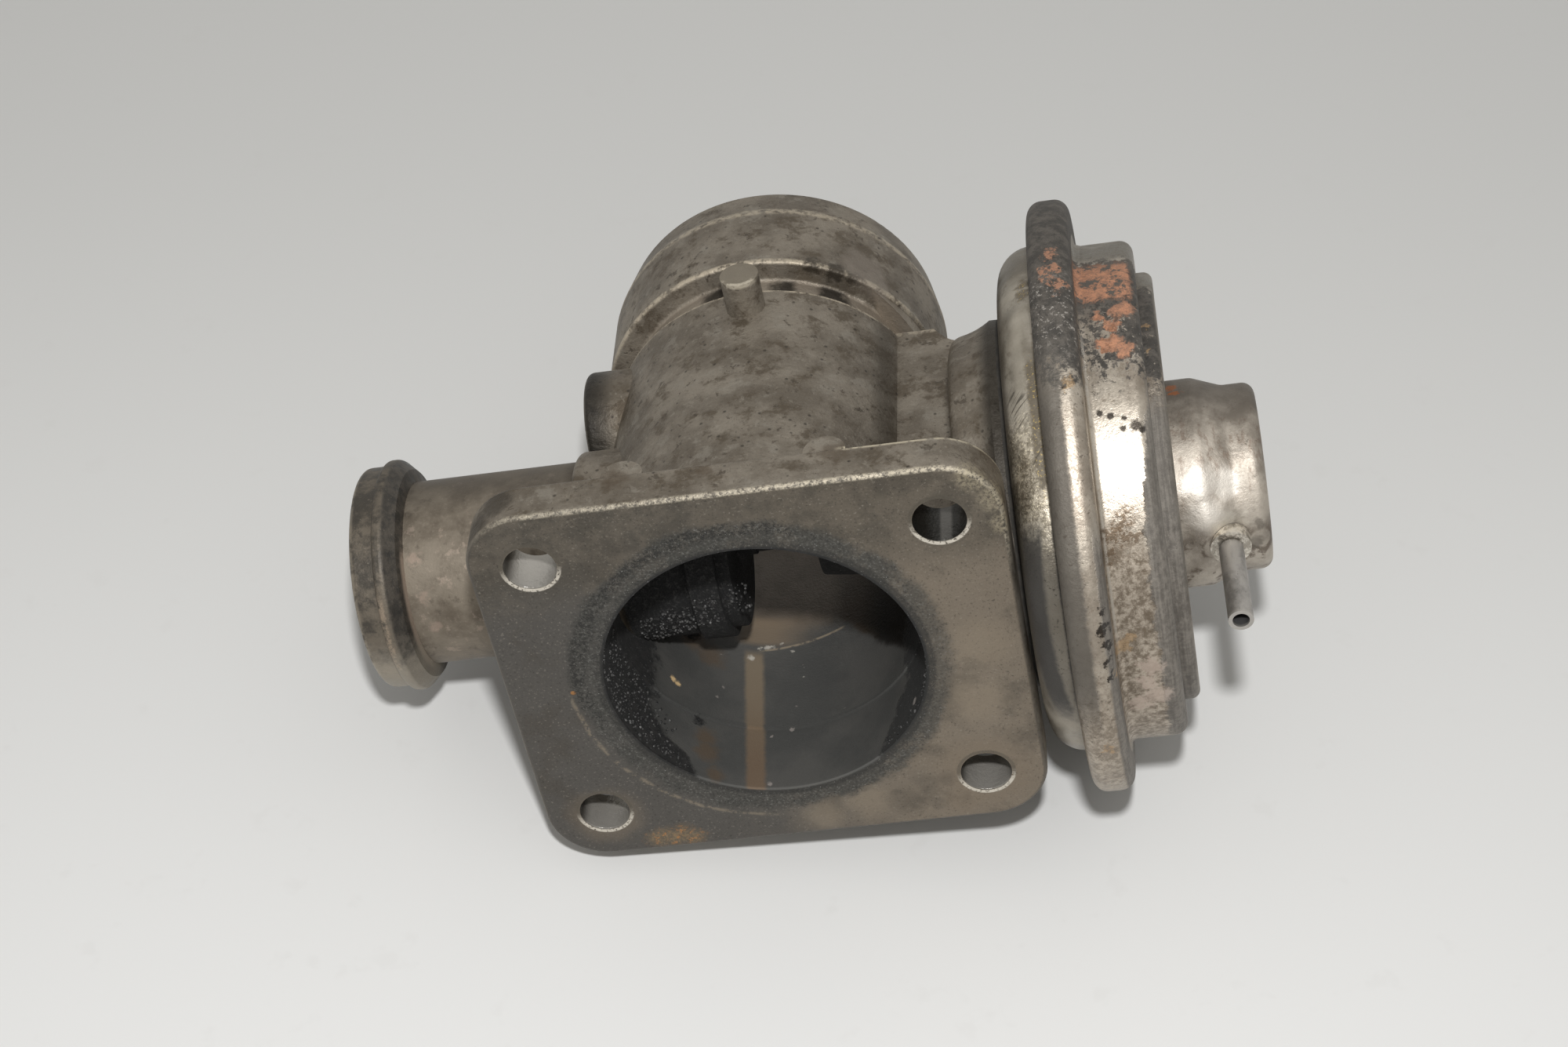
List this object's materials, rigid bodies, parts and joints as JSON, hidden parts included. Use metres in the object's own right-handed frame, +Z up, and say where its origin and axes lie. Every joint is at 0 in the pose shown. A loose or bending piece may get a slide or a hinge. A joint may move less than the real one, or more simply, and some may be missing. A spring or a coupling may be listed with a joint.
{
  "type": "egr valve",
  "caption": "Vacuum-operated exhaust gas recirculation valve: cast duct housing with bolt flange and hose spigot, clamp-flanged steel gas inlet tube and diaphragm can on the opposite side.",
  "frame": {"origin": "centre of the bolt flange's outer face, on the duct axis", "axes": "+Y along the duct axis from the bolt flange to the hose spigot, +X along the valve axis from the gas inlet tube to the vacuum can, +Z up when the duct and the valve axis are level and the stop pin is on top"},
  "size_m": [0.1506, 0.1092, 0.0982],
  "materials": {
    "cast_aluminium": "rough, weathered casting",
    "tube_steel": "heat-stained steel",
    "seat_steel": "dulled by soot",
    "poppet_steel": "dulled by soot",
    "stem_steel": "ground",
    "bush_bronze": "turned, dull",
    "seal_rubber": "matte",
    "gasket_fibre": "matte",
    "dish_zinc": "dull zinc",
    "shell_steel": "worn plating with rust",
    "cap_steel": "brushed, brown-stained",
    "nipple_steel": "dull grey",
    "screw_steel": "zinc plated",
    "spring_wire": "oiled spring wire",
    "diaphragm_rubber": "matte fabric-backed rubber"
  },
  "bodies": {
    "valve_body": {"housing": "cast_aluminium", "gas_inlet_tube": "tube_steel", "vband_flange": "tube_steel", "valve_seat": "seat_steel", "guide_bush": "bush_bronze", "stem_scraper": "seat_steel", "stem_seal": "seal_rubber", "seal_retainer": "screw_steel", "actuator_gasket": "gasket_fibre", "actuator_dish": "dish_zinc", "dish_screws": "screw_steel", "actuator_shell": "shell_steel", "diaphragm": "diaphragm_rubber", "return_spring": "spring_wire", "spring_seat": "screw_steel", "end_cap": "cap_steel", "vacuum_nipple": "nipple_steel", "nipple_collar": "nipple_steel"},
    "valve": {"poppet": "poppet_steel", "stem": "stem_steel", "backing_plate": "screw_steel", "piston_cup": "screw_steel", "lock_washer": "screw_steel", "stem_nut": "screw_steel"}
  },
  "joints": [
    {"name": "valve_lift", "type": "slide", "parent": "valve_body", "child": "valve", "axis": [1, 0, 0], "range_m": [0, 0.007], "stiffness_N_per_m": 2500, "springref_m": -0.012, "deforming": ["return_spring", "diaphragm"]}
  ]
}
